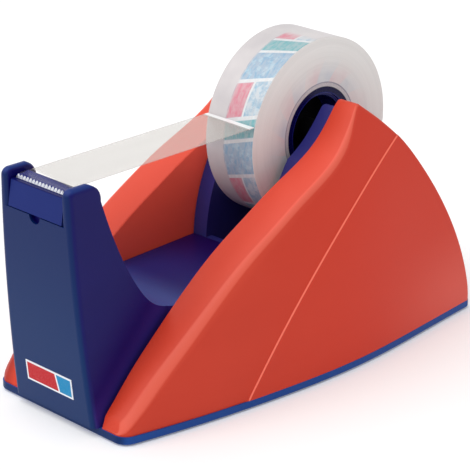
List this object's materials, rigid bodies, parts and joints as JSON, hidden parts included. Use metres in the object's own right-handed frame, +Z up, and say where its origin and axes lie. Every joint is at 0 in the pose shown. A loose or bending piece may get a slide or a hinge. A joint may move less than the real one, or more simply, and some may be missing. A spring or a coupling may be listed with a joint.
{
  "type": "tape dispenser",
  "caption": "Weighted desk tape dispenser: navy tower with a toothed cutter, two arched red side shells and a lift-out roll of clear tape on a hub.",
  "frame": {"origin": "middle of the underside of the non-slip pad, on the surface that the dispenser stands on", "axes": "+X to the right-hand side shell, +Y rearwards from the cutter to the roll, +Z up"},
  "size_m": [0.0746, 0.148, 0.0923],
  "materials": {
    "shell_red": "satin moulded",
    "tower_navy": "satin moulded",
    "tray_navy": "satin moulded",
    "cradle_navy": "satin moulded",
    "cutter_navy": "satin moulded",
    "rest_navy": "smooth moulded",
    "hub_navy": "satin moulded",
    "badge_blank": "smooth, blank",
    "blade_steel": "ground",
    "screw_steel": "zinc plated",
    "ballast_iron": "rough cast",
    "pad_rubber": "fine grained",
    "core_plastic": "smooth",
    "liner_print": "printed blocks of colour",
    "tape_clear": "milky clear winding",
    "strip_clear": "clear film"
  },
  "bodies": {
    "base": {"base_tray": "tray_navy", "non_slip_pad": "pad_rubber", "tower_body": "tower_navy", "roll_cradle": "cradle_navy", "right_side_shell": "shell_red", "left_side_shell": "shell_red", "deck_ballast": "ballast_iron", "cradle_ballast": "ballast_iron", "deck_screws": "screw_steel", "cradle_screws": "screw_steel", "shell_screws": "screw_steel", "badge_plate": "badge_blank"},
    "cutter": {"cutter_panel": "cutter_navy", "blade": "blade_steel", "tape_rest": "rest_navy"},
    "loose_tape": {"tape_strip": "strip_clear"},
    "roll": {"right_hub_half": "hub_navy", "left_hub_half": "hub_navy", "tape_core": "core_plastic", "core_liner": "liner_print", "tape_winding": "tape_clear"}
  },
  "joints": [
    {"name": "cutter_pull", "type": "slide", "parent": "base", "child": "cutter", "axis": [0, -1, 0], "range_m": [0, 0.02]},
    {"name": "roll_lift", "type": "slide", "parent": "base", "child": "loose_tape", "axis": [0, 0.5736, 0.8192], "range_m": [0, 0.055]},
    {"name": "roll_spin", "type": "hinge", "parent": "loose_tape", "child": "roll", "pos_m": [0, 0.0245, 0.0639], "axis": [1, 0, 0], "continuous": true}
  ]
}
